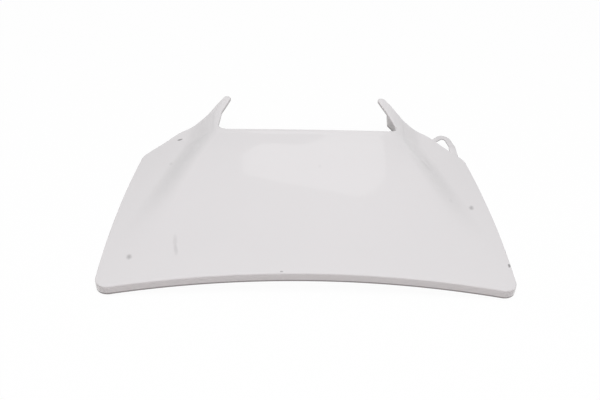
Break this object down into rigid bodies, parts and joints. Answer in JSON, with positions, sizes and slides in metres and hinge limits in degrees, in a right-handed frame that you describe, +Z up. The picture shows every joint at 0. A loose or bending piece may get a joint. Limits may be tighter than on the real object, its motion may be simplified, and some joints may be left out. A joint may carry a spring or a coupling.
{
  "type": "motorcycle fairing panel",
  "caption": "Gloss white moulded fairing panel with a raised middle, turned-down rims, a horn at each back corner and an eye on one wing.",
  "frame": {"origin": "below the middle of the panel, on the plane that its side rims rest on", "axes": "+X across the panel, towards the wing with the eye; +Y from the wide front edge back to the horns; +Z up, out of the glossy skin"},
  "size_m": [0.4338, 0.3132, 0.051],
  "materials": {
    "panel": "gloss, injection moulded and painted white"
  },
  "bodies": {
    "root": {"fairing": "panel"}
  },
  "joints": []
}
